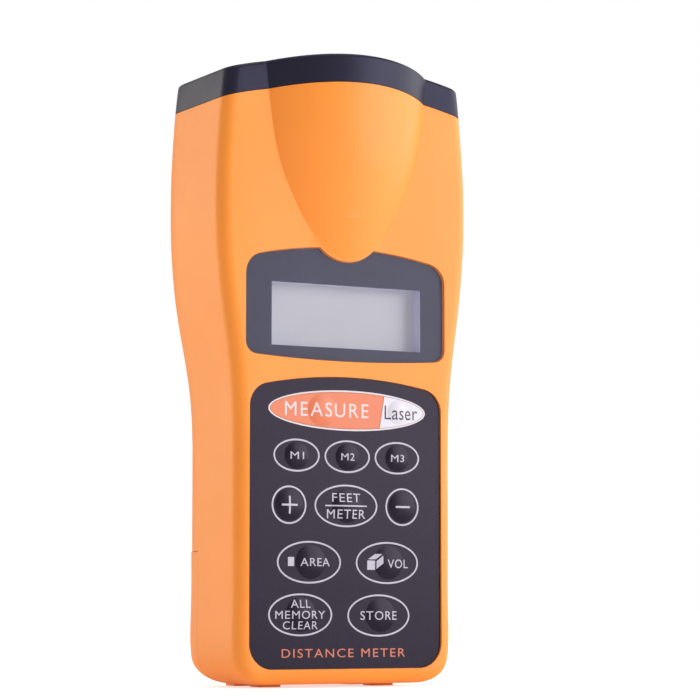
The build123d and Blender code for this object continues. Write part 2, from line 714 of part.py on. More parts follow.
def amplifier_chips():
    pin_pitch = 1.27
    with BuildPart() as chips:
        for x, z in AMPLIFIERS:
            add(slab(x - 2.0, x + 2.0, BOARD_BACK + 0.15, BOARD_BACK + 1.5, z - 2.5, z + 2.5))
            for i in range(4):
                pin_z = z - 1.9 + pin_pitch * i
                add(slab(x - 3.0, x + 3.0, BOARD_BACK, BOARD_BACK + 0.4, pin_z - 0.2, pin_z + 0.2))
    return chips.part


def crystal():
    with BuildPart() as can:
        with BuildSketch(front(BOARD_BACK + CRYSTAL_H)):
            with Locations((14.0, 64.0)):
                SlotOverall(11.0, 4.6)
        extrude(amount=CRYSTAL_H)
        fillet(can.edges().group_by(Axis.Y)[-1], 0.5)
    return can.part


def capacitor(x, z, radius, height):
    with BuildPart() as can:
        add(post(x, z, radius, BOARD_BACK, BOARD_BACK + height))
        fillet(can.edges().filter_by(GeomType.CIRCLE).sort_by(Axis.Y)[-1], 0.5)
    return can.part


def electrolytic_capacitors():
    with BuildPart() as cans:
        for spec in CAPACITORS:
            add(capacitor(*spec))
    return cans.part


def smd_passives():
    with BuildPart() as chips:
        for x, z, upright in PASSIVES:
            half_x, half_z = (0.65, 1.05) if upright else (1.05, 0.65)
            add(slab(x - half_x, x + half_x, BOARD_BACK, BOARD_BACK + 0.6, z - half_z, z + half_z))
    return chips.part


def driver_transformer():
    x, z = TRANSFORMER_X, TRANSFORMER_Z
    base, plate = 5.0, 4.7    # half sizes of the base and of the rear plate
    with BuildPart() as transformer:
        add(slab(x - base, x + base, BOARD_BACK, BOARD_BACK + 1.2, z - base, z + base))
        add(post(x, z, 2.6, BOARD_BACK + 1.1, BOARD_BACK + 6.5))
        add(slab(x - plate, x + plate, BOARD_BACK + 6.4, BOARD_BACK + 7.8, z - plate, z + plate))
        add(post(x, z, 4.3, BOARD_BACK + 1.5, BOARD_BACK + 6.1))
    return transformer.part


def buzzer():
    with BuildPart() as can:
        add(post(BUZZER_X, BUZZER_Z, 5.5, BOARD_BACK, BOARD_BACK + 7.5))
        fillet(can.edges().filter_by(GeomType.CIRCLE).sort_by(Axis.Y)[-1], 0.6)
        add(post(BUZZER_X, BUZZER_Z, 1.1, BOARD_BACK + 6.0, BOARD_BACK + 9.0), mode=Mode.SUBTRACT)
    return can.part


# ---------------------------------------------------------------- battery compartment
BAT_X0, BAT_X1, BAT_Y0, BAT_Y1, BAT_Z0, BAT_Z1 = -26.2, 20.2, -3.0, 14.5, 6.2, 32.7
BAT_YC = (BAT_Y0 + BAT_Y1) / 2
STUD_Z, SOCKET_Z = 13.1, 25.8            # the two battery terminals
TRAY_HALF_W, TRAY_Y0, TRAY_FLOOR_Y, TRAY_TOP = 29.2, -5.2, -4.0, 34.4
BATTERY_WIRE_R = 0.55


def tray_room():
    """Space inside the casing that the tray may fill."""
    with BuildPart() as room:
        add(mid_slab(40, -10, 30, 2, 34.5))
        add(cavity, mode=Mode.INTERSECT)
    return room.part


def battery_tray():
    notch_y, notch_z0, notch_z1 = -3.9, 30, 36
    with BuildPart() as tray:
        # front wall, cleared round the lower board screws, and top wall
        add(mid_slab(TRAY_HALF_W, TRAY_Y0, TRAY_FLOOR_Y, 3.6, TRAY_TOP))
        for side in SIDES:
            add(post(side * BOARD_SCREW_X, LOW_BOARD_SCREW_Z, 2.6, -6, -3), mode=Mode.SUBTRACT)
        add(mid_slab(TRAY_HALF_W, TRAY_FLOOR_Y - 0.1, 17.6, 33.2, TRAY_TOP))
        add(tray_room(), mode=Mode.INTERSECT)
        # notches in the top wall: its two ends, and the wire passage
        for x0, x1, y1 in ((27.0, 40, 30), (-40, -27.0, 30), (21.6, 26.3, 4.4)):
            add(slab(x0, x1, notch_y, y1, notch_z0, notch_z1), mode=Mode.SUBTRACT)
    return tray.part


def battery():
    with BuildPart() as block:
        add(slab(BAT_X0, BAT_X1, BAT_Y0, BAT_Y1, BAT_Z0, BAT_Z1))
        fillet(block.edges().filter_by(Axis.X), 2.2)
        chamfer(block.faces().sort_by(Axis.X)[0].edges(), 0.5)
    return block.part


def battery_terminals():
    with BuildPart() as terminals:
        for z, radius, bore in ((STUD_Z, 2.9, 0.0), (SOCKET_Z, 4.0, 2.9)):
            with BuildSketch(Plane.YZ.offset(BAT_X1)):
                with Locations((BAT_YC, z)):
                    Circle(radius)
                    if bore:
                        Circle(bore, mode=Mode.SUBTRACT)
            extrude(amount=1.9)
    return terminals.part


def battery_snap():
    with BuildPart() as snap:
        add(slab(BAT_X1 + 0.1, BAT_X1 + 5.2, BAT_YC - 6.0, BAT_YC + 6.0, 8.4, 30.6))
        fillet(snap.edges().filter_by(Axis.X), 3.5)
        for z in (STUD_Z, SOCKET_Z):
            with BuildSketch(Plane.YZ.offset(BAT_X1)):
                with Locations((BAT_YC, z)):
                    Circle(4.3)
            extrude(amount=2.0, mode=Mode.SUBTRACT)
    return snap.part


def battery_foam():
    return slab(-22.0, 16.0, -3.95, -3.05, 9.0, 30.0)


def positive_wire():
    return cable([(24.0, 2.8, 31.0), (23.3, 2.2, 34.0), (18.6, 2.4, 36.6), (15.6, 0.4, 43.0),
                  (15.0, BOARD_BACK + 0.5, 49.0)], BATTERY_WIRE_R)


def negative_wire():
    return cable([(24.0, 0.2, 31.0), (23.2, -0.6, 34.0), (17.6, -0.8, 36.4), (12.4, -2.2, 40.5),
                  (11.6, BOARD_BACK + 0.5, 44.5)], BATTERY_WIRE_R)


# ---------------------------------------------------------------- horn and ultrasonic transducer
# horn profile: radius, z
HORN_BORE = [(THROAT_R, HORN_Z0), (9.4, 134.0), (12.7, 143.0), (16.9, 152.0), (MOUTH_R, HORN_Z1)]
HORN_OUTSIDE = [
    (MOUTH_R + HORN_RIM, HORN_Z1 - HORN_RIM), (18.3, 151.6), (14.1, 142.6),
    (SLEEVE_R, 134.2), (SLEEVE_R, 127.8),
]
HORN_SLEEVE = [
    HORN_OUTSIDE[-1], (SLEEVE_R, 116.6), (10.1, 116.6), (10.1, 126.4),
    (THROAT_R, 126.4), (THROAT_R, HORN_Z0),
]
CONE = [(0, 120.4), (2.0, 120.4), (5.6, 123.6), (5.2, 123.9), (1.6, 121.2), (0, 121.2), (0, 120.4)]
HORN_AXIS = Axis((0, HORN_Y, 0), (0, 0, 1))
PIN_X = 5.0
SENSOR_X = 10.0


def about_horn(points):
    """Points given as radius, z, placed beside the horn axis in the YZ plane."""
    return [(HORN_Y + radius, z) for radius, z in points]


def horn():
    bore, outside = about_horn(HORN_BORE), about_horn(HORN_OUTSIDE)
    rim = (HORN_Y + MOUTH_R + HORN_RIM, HORN_Z1)
    with BuildPart() as flare:
        with BuildSketch(Plane.YZ):
            with BuildLine():
                Spline(*bore)
                Line(bore[-1], rim)
                Line(rim, outside[0])
                Spline(*outside)
                Polyline(*about_horn(HORN_SLEEVE))
            make_face()
        revolve(axis=HORN_AXIS)
    return flare.part


def transducer_can():
    with BuildPart() as can:
        add(rod(0, HORN_Y, 8.0, 115.0, 126.2))
        fillet(can.edges().filter_by(GeomType.CIRCLE).sort_by(Axis.Z)[-1], 0.6)
        # mesh recess, inside of the can, and the hole between them
        for radius, z0, z1 in ((7.0, 125.2, 128), (7.6, 114, 124.6), (6.6, 124, 126)):
            add(rod(0, HORN_Y, radius, z0, z1), mode=Mode.SUBTRACT)
    return can.part


def transducer_mesh():
    with BuildPart() as mesh:
        add(rod(0, HORN_Y, 6.95, 125.25, 125.65))
        with BuildSketch(Plane.XY.offset(125.2)):
            with Locations((0, HORN_Y)):
                with HexLocations(1.0, 7, 7):
                    Circle(0.62)
        extrude(amount=1, mode=Mode.SUBTRACT)
    return mesh.part


def transducer_element():
    """Base disc, the smaller disc on it, and the cone on top."""
    with BuildPart() as element:
        add(rod(0, HORN_Y, 7.5, 115.2, 117.0))
        add(rod(0, HORN_Y, 5.0, 116.9, 120.5))
        with BuildSketch(Plane.YZ):
            with BuildLine():
                Polyline(*about_horn(CONE))
            make_face()
        revolve(axis=HORN_AXIS)
    return element.part


def transducer_cushion():
    return rod(0, HORN_Y, 10.0, 117.0, 126.0, bore=8.05)


def transducer_pins():
    with BuildPart() as pins:
        for side in SIDES:
            add(rod(side * PIN_X, HORN_Y, 0.5, 112.6, 115.2))
    return pins.part


def transducer_wires():
    with BuildPart() as wires:
        for side in SIDES:
            add(cable([(side * PIN_X, HORN_Y, 112.4), (side * 2.6 - 1.5, HORN_Y + 1.5, 101.0),
                       (side * 1.2 - 6.5, HORN_Y - 1.0, 90.0),
                       (side * 1.2 - 8.0, BOARD_BACK + 0.5, 83.0)], 0.5))
    return wires.part


def temperature_sensor():
    """A bead on two leads that run down to the board."""
    with BuildPart() as sensor:
        with Locations((SENSOR_X, -2.0, 112.6)):
            Sphere(1.4)
        for side in SIDES:
            add(cable([(SENSOR_X + side * 0.6, -2.3, 111.8), (SENSOR_X + side * 0.9, -3.4, 109.6),
                       (SENSOR_X + side * 1.0, BOARD_BACK + 0.3, 108.2)], 0.25))
    return sensor.part


# ---------------------------------------------------------------- laser pointer
def laser_barrel():
    with BuildPart() as barrel:
        add(rod(LASER_X, LASER_Y, 3.4, 134.0, 156.4))
        chamfer(barrel.edges().filter_by(GeomType.CIRCLE).sort_by(Axis.Z)[-1], 0.3)
        add(rod(LASER_X, LASER_Y, 2.8, 133, 153.0), mode=Mode.SUBTRACT)
        add(rod(LASER_X, LASER_Y, 1.9, 150, 158), mode=Mode.SUBTRACT)
    return barrel.part


def laser_lens():
    x, edge = LASER_X, LASER_X + 2.7
    crown, shoulder, base = 152.8, 151.9, 150.6
    with BuildPart() as lens:
        with BuildSketch(front(LASER_Y)):
            with BuildLine():
                ThreePointArc((x, crown), (x + 1.5, 152.55), (edge, shoulder))
                Polyline((edge, shoulder), (edge, base), (x, base), (x, crown))
            make_face()
        revolve(axis=Axis((LASER_X, LASER_Y, 0), (0, 0, 1)))
    return lens.part


def laser_diode():
    """Flange, can and three leads."""
    with BuildPart() as diode:
        add(rod(LASER_X, LASER_Y, 2.75, 134.4, 135.6))
        add(rod(LASER_X, LASER_Y, 1.8, 135.5, 138.2))
        for dx, dy in ((-1.0, -0.6), (1.0, -0.6), (0.0, 1.1)):
            add(rod(LASER_X + dx, LASER_Y + dy, 0.22, 129.5, 134.5))
    return diode.part


def laser_holder():
    half = 5.0
    with BuildPart() as holder:
        add(slab(LASER_X - half, LASER_X + half, LASER_Y - half, LASER_Y + half, 137.5, 147.0))
        fillet(holder.edges().filter_by(Axis.Z), 1.5)
        add(rod(LASER_X, LASER_Y, 3.45, 130, 160), mode=Mode.SUBTRACT)
        # cross hole in the front wall
        add(post(LASER_X, 142.2, 0.9, LASER_Y - 6, LASER_Y - 1), mode=Mode.SUBTRACT)
    return holder.part


def laser_window():
    return rod(LASER_X, LASER_Y, 3.55, 157.2, 158.2)


def laser_wires():
    with BuildPart() as wires:
        for side in SIDES:
            low_x = 16.5 + side * 1.3
            add(cable([(LASER_X + side * 1.0, LASER_Y - 0.6, 129.2),
                       (19.5 + side * 1.2, 6.0, 122.0), (17.0 + side * 1.4, 4.0, 113.0),
                       (low_x, 1.0, 107.0), (low_x, BOARD_BACK + 0.5, 103.0)], 0.45))
    return wires.part


# ---------------------------------------------------------------- export
def save(part, name):
    part.label = name
    export_step(part, f"parts/{name}.step")


# each function is named after its piece
PIECES = (
    front_shell, rear_shell, battery_door, nose_cap, casing_screws, board_screws,
    keypad_overlay, key_mat, display_lens, display_mask, lcd_frame, lcd_glass, zebra_strips,
    main_board, mcu_chip, amplifier_chips, crystal, electrolytic_capacitors, smd_passives,
    driver_transformer, buzzer,
    battery_tray, battery, battery_terminals, battery_snap, battery_foam,
    positive_wire, negative_wire,
    horn, transducer_can, transducer_mesh, transducer_element, transducer_cushion,
    transducer_pins, transducer_wires, temperature_sensor,
    laser_barrel, laser_lens, laser_diode, laser_holder, laser_window, laser_wires,
)
for piece in PIECES:
    save(piece(), piece.__name__)
for key_name in RINGS:
    save(oval_key(key_name), key_name)
for key_name in BAR_DISCS:
    save(bar_key(key_name), key_name)
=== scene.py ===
"""Looks, stage, light and camera for a handheld distance meter.

The meter stands upright along +Z with its keypad facing -Y and +X to the right of the keys.
Scene lengths are metres; the keypad print is laid out in millimetres, in x and z.
"""
import math
from collections import namedtuple

import bmesh
import bpy
from mathutils import Matrix, Vector


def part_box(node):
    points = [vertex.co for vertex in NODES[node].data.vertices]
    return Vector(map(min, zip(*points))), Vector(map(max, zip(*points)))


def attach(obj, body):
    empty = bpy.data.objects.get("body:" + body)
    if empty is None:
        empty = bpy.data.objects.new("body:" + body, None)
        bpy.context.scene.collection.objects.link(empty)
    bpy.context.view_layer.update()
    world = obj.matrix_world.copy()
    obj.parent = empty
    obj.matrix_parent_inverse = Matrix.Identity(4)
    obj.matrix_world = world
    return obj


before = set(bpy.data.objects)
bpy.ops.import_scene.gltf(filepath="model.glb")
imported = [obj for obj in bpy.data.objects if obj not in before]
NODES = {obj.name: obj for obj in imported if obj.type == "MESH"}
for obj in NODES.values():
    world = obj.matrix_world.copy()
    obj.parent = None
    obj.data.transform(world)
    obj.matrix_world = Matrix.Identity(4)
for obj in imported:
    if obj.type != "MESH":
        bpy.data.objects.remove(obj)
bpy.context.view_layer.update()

MM = 0.001


# ------------------------------------------------------------------ material tools


def fill_inputs(node, values):
    """Sets a node's inputs by name; underscores stand for spaces."""
    for name, value in values.items():
        node.inputs[name.replace("_", " ")].default_value = value


def shade(colour, factor):
    """The colour made darker or lighter by a factor, kept within 0..1."""
    return tuple(min(1.0, max(0.0, channel * factor)) for channel in colour)


class Mat:
    """A material under construction: a Principled shader fed from object coordinates."""

    def __init__(self, name):
        self.material = bpy.data.materials.new(name)
        self.material.use_nodes = True
        self.tree = self.material.node_tree
        nodes = self.tree.nodes
        self.principled = next(n for n in nodes if n.type == "BSDF_PRINCIPLED")
        self.output = next(n for n in nodes if n.type == "OUTPUT_MATERIAL")
        coordinates = self.node("ShaderNodeTexCoord")
        self.mapping = self.node("ShaderNodeMapping")
        self.link(coordinates.outputs["Object"], self.mapping.inputs["Vector"])
        self.position = self.mapping.outputs["Vector"]
        self.relief = None

    def node(self, kind, **inputs):
        node = self.tree.nodes.new(kind)
        fill_inputs(node, inputs)
        return node

    def link(self, source, target):
        self.tree.links.new(source, target)

    def drive(self, name, source):
        """Links a socket to a Principled input."""
        self.link(source, self.principled.inputs[name])

    def set(self, **inputs):
        """Gives Principled inputs fixed values."""
        fill_inputs(self.principled, inputs)

    def noise(self, scale, detail=3.0, roughness=0.55):
        node = self.node("ShaderNodeTexNoise", Scale=scale, Detail=detail, Roughness=roughness)
        self.link(self.position, node.inputs["Vector"])
        return node.outputs["Fac"]

    def ramp(self, factor, stops, interpolation="LINEAR"):
        """Colour ramp through (position, colour) stops."""
        node = self.node("ShaderNodeValToRGB")
        elements = node.color_ramp.elements
        while len(elements) < len(stops):
            elements.new(0.5)
        for element, (position, colour) in zip(elements, stops):
            element.position = position
            element.color = (*colour, 1.0)
        node.color_ramp.interpolation = interpolation
        self.link(factor, node.inputs["Fac"])
        return node.outputs["Color"]

    def mottle(self, noise, first, second):
        """Drifts between two colours over the middle of the noise's range."""
        return self.ramp(noise, [(0.3, first), (0.7, second)])

    def rescale(self, factor, low, high):
        """Maps 0..1 to low..high."""
        node = self.node("ShaderNodeMapRange", To_Min=low, To_Max=high)
        self.link(factor, node.inputs["Value"])
        return node.outputs["Result"]

    def height_fraction(self, bottom, top):
        """Runs from 0 at z = bottom to 1 at z = top (metres)."""
        split = self.node("ShaderNodeSeparateXYZ")
        self.link(self.position, split.inputs[0])
        node = self.node("ShaderNodeMapRange", From_Min=bottom, From_Max=top)
        self.link(split.outputs["Z"], node.inputs["Value"])
        return node.outputs["Result"]

    def math(self, operation, *operands):
        """Math node; each operand is a number or a socket."""
        node = self.node("ShaderNodeMath")
        node.operation = operation
        for target, operand in zip(node.inputs, operands):
            if isinstance(operand, float):
                target.default_value = operand
            else:
                self.link(operand, target)
        return node.outputs[0]

    def bump(self, height, strength, distance):
        """Adds relief (distance in metres) on top of any added before."""
        node = self.node("ShaderNodeBump", Strength=strength, Distance=distance)
        self.link(height, node.inputs["Height"])
        if self.relief:
            self.link(self.relief, node.inputs["Normal"])
        self.relief = node.outputs["Normal"]
        self.drive("Normal", self.relief)


# ------------------------------------------------------------------ materials


def plastic(name, colour, rough=0.42, grain=2600.0, grain_bump=0.12, vary=0.05, spec=0.45,
            coat=0.0, tint=(1.0, 1.0, 1.0)):
    """Moulded plastic: slow colour drift, fine surface grain and faint handling marks.

    grain is the scale of the fine noise, vary the size of the colour drift.
    """
    m = Mat(name)
    drift = m.noise(scale=38.0, detail=2.0)
    m.drive("Base Color", m.mottle(drift, shade(colour, 1 - vary), shade(colour, 1 + vary)))
    fine = m.noise(scale=grain, detail=2.0, roughness=0.6)
    marks = m.noise(scale=160.0, detail=5.0, roughness=0.7)
    fine_gloss = m.rescale(fine, low=-0.05, high=0.05)
    mark_gloss = m.rescale(marks, low=rough - 0.05, high=rough + 0.05)
    m.drive("Roughness", m.math("ADD", fine_gloss, mark_gloss))
    m.set(Specular_IOR_Level=spec, Specular_Tint=(*tint, 1.0))
    m.set(Coat_Weight=coat, Coat_Roughness=0.12)
    m.bump(fine, strength=grain_bump, distance=0.00004)
    m.bump(marks, strength=0.04, distance=0.00006)
    return m.material


def metal(name, colour, rough):
    """Metal with streaks drawn out along z."""
    m = Mat(name)
    m.mapping.inputs["Scale"].default_value = (9.0, 9.0, 0.6)
    streaks = m.noise(scale=100.0, detail=4.0, roughness=0.6)
    m.drive("Base Color", m.mottle(streaks, shade(colour, 0.86), shade(colour, 1.08)))
    m.drive("Roughness", m.rescale(streaks, low=rough - 0.08, high=rough + 0.1))
    m.set(Metallic=1.0)
    m.bump(streaks, strength=0.08, distance=0.00003)
    return m.material


def clear_window(name, tint, strength, rough):
    """Straight-through glass with a Fresnel reflection, so what lies behind it stays sharp."""
    m = Mat(name)
    through = m.node("ShaderNodeBsdfTransparent")
    haze = m.noise(scale=90.0)
    m.link(m.mottle(haze, shade(tint, 0.985), tint), through.inputs["Color"])
    gloss = m.node("ShaderNodeBsdfGlossy", Color=(1, 1, 1, 1))
    gloss_rough = m.rescale(m.noise(scale=240.0), low=rough, high=rough + 0.03)
    m.link(gloss_rough, gloss.inputs["Roughness"])
    fresnel = m.node("ShaderNodeFresnel", IOR=1.38)
    geometry = m.node("ShaderNodeNewGeometry")
    # only the outer side of each surface reflects
    outer = m.math("SUBTRACT", 1.0, geometry.outputs["Backfacing"])
    reflection = m.math("MULTIPLY", fresnel.outputs[0], outer)
    mix = m.node("ShaderNodeMixShader")
    m.link(m.math("MULTIPLY", reflection, strength), mix.inputs[0])
    m.link(through.outputs[0], mix.inputs[1])
    m.link(gloss.outputs[0], mix.inputs[2])
    m.link(mix.outputs[0], m.output.inputs["Surface"])
    m.tree.nodes.remove(m.principled)
    return m.material


def battery_jacket(name):
    """Printed jacket: black with a copper band around its top and thin pale lines."""
    black = (0.016, 0.016, 0.018)
    copper = (0.55, 0.27, 0.10)
    pale = (0.50, 0.50, 0.52)
    # where each colour starts, as a fraction of the battery's height
    bands = [(0.0, black), (0.10, pale), (0.125, black), (0.42, pale), (0.445, copper),
             (0.97, black)]
    m = Mat(name)
    low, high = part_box("battery")
    height = m.height_fraction(low.z, high.z)
    m.drive("Base Color", m.ramp(height, bands, interpolation="CONSTANT"))
    m.set(Metallic=0.35)
    m.drive("Roughness", m.rescale(m.noise(scale=300.0), low=0.24, high=0.34))
    m.bump(m.noise(scale=900.0, detail=2.0), strength=0.04, distance=0.00003)
    return m.material


def circuit_board(name):
    """Solder mask with tracks showing as a darker and lighter green pattern in x and z."""
    m = Mat(name)
    tracks = m.node("ShaderNodeTexBrick", Scale=420.0, Mortar_Size=0.03,
                    Color1=(0.010, 0.120, 0.045, 1), Color2=(0.014, 0.150, 0.055, 1),
                    Mortar=(0.030, 0.230, 0.085, 1))
    split = m.node("ShaderNodeSeparateXYZ")
    flat = m.node("ShaderNodeCombineXYZ")
    m.link(m.position, split.inputs[0])
    m.link(split.outputs["X"], flat.inputs["X"])
    m.link(split.outputs["Z"], flat.inputs["Y"])
    m.link(flat.outputs[0], tracks.inputs["Vector"])
    m.drive("Base Color", tracks.outputs["Color"])
    m.drive("Roughness", m.rescale(m.noise(scale=300.0), low=0.28, high=0.4))
    m.bump(tracks.outputs["Fac"], strength=0.2, distance=0.00004)
    return m.material


def lcd_glass(name):
    """Display glass: grey-lavender with painted light: a faint glow over the whole glass, and a
    slow slope in brightness that paints the top slightly lighter against the recess's shade.
    """
    bottom_grey = (0.295, 0.29, 0.315)
    # painted light: the top grey is a little lighter to offset the shade the recess casts on it
    painted_lighter_top = (0.30, 0.295, 0.32)
    m = Mat(name)
    painted_top_lift = m.height_fraction(bottom=0.084, top=0.106)
    drift = m.rescale(m.noise(scale=70.0, detail=2.0), low=-0.12, high=0.12)
    drift_and_painted_lift = m.math("ADD", painted_top_lift, drift)
    m.drive("Base Color", m.ramp(drift_and_painted_lift, [(0.0, bottom_grey), (1.0, painted_lighter_top)]))
    m.drive("Roughness", m.rescale(m.noise(scale=500.0), low=0.32, high=0.42))
    # painted light: a faint glow lifts the display's shade, though the display is no lamp
    m.set(Emission_Color=(0.92, 0.92, 1.0, 1.0), Emission_Strength=0.14)
    m.bump(m.noise(scale=5000.0, detail=1.0), strength=0.05, distance=0.00002)
    return m.material


# what the printed keypad's films and inks share
FILM = dict(grain=4200.0, grain_bump=0.08, rough=0.36, vary=0.02, spec=0.5)
INK = dict(grain=5200.0, grain_bump=0.05, rough=0.45)

PLASTICS = {
    "orange_shell": dict(colour=(0.95, 0.280, 0.026), rough=0.46, grain=3000.0,
                         grain_bump=0.22, vary=0.025, spec=0.46),
    "dark_cap": dict(colour=(0.014, 0.011, 0.021), rough=0.40, vary=0.12, spec=0.32,
                     tint=(0.62, 0.64, 1.0)),
    "keypad_film": dict(colour=(0.010, 0.006, 0.016), rough=0.28, grain=4200.0,
                        grain_bump=0.10, vary=0.10, spec=0.20, tint=(0.90, 0.82, 1.0)),
    "measure_film": dict(colour=(0.71, 0.168, 0.066), **FILM),
    "laser_film": dict(colour=(0.66, 0.62, 0.70), **FILM),
    "print_pale": dict(colour=(0.50, 0.46, 0.56), vary=0.05, **INK),
    "print_white": dict(colour=(0.72, 0.63, 0.66), vary=0.03, **INK),
    "print_dark": dict(colour=(0.045, 0.040, 0.055), vary=0.05, **INK),
    "print_orange": dict(colour=(0.62, 0.16, 0.085), vary=0.05, **INK),
    "display_mask": dict(colour=(0.034, 0.032, 0.066), grain=3000.0, grain_bump=0.03,
                         vary=0.06, spec=0.2),
    "pale_plastic": dict(colour=(0.62, 0.60, 0.78), rough=0.5, vary=0.04),
    "black_plastic": dict(colour=(0.022, 0.021, 0.024), rough=0.45, vary=0.15),
    "dark_rubber": dict(colour=(0.020, 0.020, 0.020), rough=0.8, grain=1800.0,
                        grain_bump=0.3, vary=0.15, spec=0.25),
    "silicone": dict(colour=(0.42, 0.42, 0.43), rough=0.65, spec=0.35),
    "foam": dict(colour=(0.05, 0.05, 0.055), rough=0.95, grain=1400.0, grain_bump=0.8,
                 vary=0.2, spec=0.1),
    "chip_epoxy": dict(colour=(0.018, 0.018, 0.02), rough=0.6, vary=0.2),
    "chip_ceramic": dict(colour=(0.30, 0.22, 0.14), rough=0.5, vary=0.2),
    "ferrite": dict(colour=(0.08, 0.075, 0.07), rough=0.6, vary=0.2),
    "capacitor_sleeve": dict(colour=(0.03, 0.035, 0.14), rough=0.3, vary=0.1, coat=0.3),
    "red_wire": dict(colour=(0.50, 0.02, 0.02), rough=0.35),
    "black_wire": dict(colour=(0.015, 0.015, 0.016), rough=0.35, vary=0.1),
}
METALS = {
    "screw_steel": dict(colour=(0.30, 0.30, 0.32), rough=0.34),
    "bright_metal": dict(colour=(0.72, 0.72, 0.74), rough=0.26),
    "mesh_metal": dict(colour=(0.55, 0.55, 0.58), rough=0.35),
    "brass_barrel": dict(colour=(0.78, 0.56, 0.25), rough=0.25),
}
SPECIALS = {
    "clear_window": dict(tint=(0.975, 0.975, 0.99), strength=0.30, rough=0.2),
    "battery_jacket": {},
    "circuit_board": {},
    "lcd_glass": {},
}

MATERIALS = {name: plastic(name, **look) for name, look in PLASTICS.items()}
for name, look in METALS.items():
    MATERIALS[name] = metal(name, **look)
for build in (clear_window, battery_jacket, circuit_board, lcd_glass):
    name = build.__name__
    MATERIALS[name] = build(name, **SPECIALS[name])

PIECES = {
    "orange_shell": ["front_shell", "rear_shell", "battery_door"],
    "dark_cap": ["nose_cap"],
    "screw_steel": ["casing_screws", "board_screws"],
    "keypad_film": ["keypad_overlay", "m1_key", "m2_key", "m3_key", "plus_key", "unit_key",
                    "minus_key", "area_key", "volume_key", "clear_key", "store_key"],
    "measure_film": ["measure_key"],
    "laser_film": ["laser_key"],
    "clear_window": ["display_lens", "laser_window", "laser_lens"],
    "display_mask": ["display_mask"],
    "pale_plastic": ["lcd_frame", "transducer_element"],
    "lcd_glass": ["lcd_glass"],
    "dark_rubber": ["zebra_strips", "transducer_cushion"],
    "silicone": ["key_mat"],
    "circuit_board": ["main_board"],
    "chip_epoxy": ["mcu_chip", "amplifier_chips", "temperature_sensor"],
    "bright_metal": ["crystal", "battery_terminals", "transducer_can", "transducer_pins",
                     "laser_diode"],
    "capacitor_sleeve": ["electrolytic_capacitors"],
    "chip_ceramic": ["smd_passives"],
    "ferrite": ["driver_transformer"],
    "black_plastic": ["buzzer", "battery_tray", "battery_snap", "horn", "laser_holder"],
    "battery_jacket": ["battery"],
    "foam": ["battery_foam"],
    "red_wire": ["positive_wire", "laser_wires"],
    "black_wire": ["negative_wire", "transducer_wires"],
    "mesh_metal": ["transducer_mesh"],
    "brass_barrel": ["laser_barrel"],
}
for material_name, piece_names in PIECES.items():
    for piece_name in piece_names:
        slots = NODES[piece_name].data.materials
        slots.clear()
        slots.append(MATERIALS[material_name])


# ------------------------------------------------------------------ surface shading


def geometry_group(name):
    """An empty geometry group with its input and output nodes."""
    group = bpy.data.node_groups.new(name, "GeometryNodeTree")
    for direction in ("INPUT", "OUTPUT"):
        group.interface.new_socket("Geometry", in_out=direction,
                                   socket_type="NodeSocketGeometry")
    return group, group.nodes.new("NodeGroupInput"), group.nodes.new("NodeGroupOutput")


def shade_node(group, domain, smooth):
    node = group.nodes.new("GeometryNodeSetShadeSmooth")
    node.domain = domain
    node.inputs["Shade Smooth"].default_value = smooth
    return node


def smooth_by_angle(name, degrees):
    """Joins a mesh's split vertices and shades it smooth except at corners sharper than this."""
    group, source, result = geometry_group(name)
    weld = group.nodes.new("GeometryNodeMergeByDistance")
    weld.inputs["Distance"].default_value = 0.000002
    faces = shade_node(group, "FACE", True)
    edges = shade_node(group, "EDGE", False)
    angle = group.nodes.new("GeometryNodeInputMeshEdgeAngle")
    sharper = group.nodes.new("FunctionNodeCompare")
    sharper.data_type = "FLOAT"
    sharper.operation = "GREATER_THAN"
    sharper.inputs["B"].default_value = math.radians(degrees)
    link = group.links.new
    link(source.outputs[0], weld.inputs["Geometry"])
    link(weld.outputs[0], faces.inputs["Geometry"])
    link(faces.outputs[0], edges.inputs["Geometry"])
    link(angle.outputs["Unsigned Angle"], sharper.inputs["A"])
    link(sharper.outputs["Result"], edges.inputs["Selection"])
    link(edges.outputs[0], result.inputs[0])
    return group


def flat_faces(name, back=0.0):
    """Shades every face flat; back moves the plate along +Y for an air gap in front of it."""
    group, source, result = geometry_group(name)
    faces = shade_node(group, "FACE", False)
    move = group.nodes.new("GeometryNodeSetPosition")
    move.inputs["Offset"].default_value = (0.0, back, 0.0)
    group.links.new(source.outputs[0], faces.inputs["Geometry"])
    group.links.new(faces.outputs[0], move.inputs["Geometry"])
    group.links.new(move.outputs[0], result.inputs[0])
    return group


SMOOTH = smooth_by_angle("smooth_by_angle", degrees=28.0)
SMOOTH_KEY = smooth_by_angle("smooth_keys", degrees=9.0)
FLAT = flat_faces("flat_faces")
FLAT_BACK = flat_faces("flat_faces_back", back=0.02 * MM)


def shading_group(piece_name):
    if piece_name in ("display_lens", "lcd_frame", "lcd_glass"):
        return FLAT
    if piece_name == "display_mask":
        return FLAT_BACK
    return SMOOTH_KEY if piece_name.endswith("_key") else SMOOTH


for piece_name, piece in NODES.items():
    if piece.data.has_custom_normals:
        piece.data.attributes.remove(piece.data.attributes["custom_normal"])
    modifier = piece.modifiers.new("smooth", "NODES")
    modifier.node_group = shading_group(piece_name)

# ------------------------------------------------------------------ keypad layout (mm)
FILM_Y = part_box("keypad_overlay")[0].y  # outer face of the film, in metres
DISC_RISE = 0.5           # how far each raised disc stands out of the film
RING_WIDTH = 0.44
RING_SEGMENTS = 160
KEY_SHIFT = 0.33          # the key field sits this far right of the middle
MAX_EDGE = 0.6            # longest edge of print that has to follow a disc
INK_THICKNESS = 0.025 * MM
INK_SINK = 0.012 * MM     # how far the ink's underside is let into the film

Key = namedtuple("Key", "x z width height disc_x disc_z disc_radius")
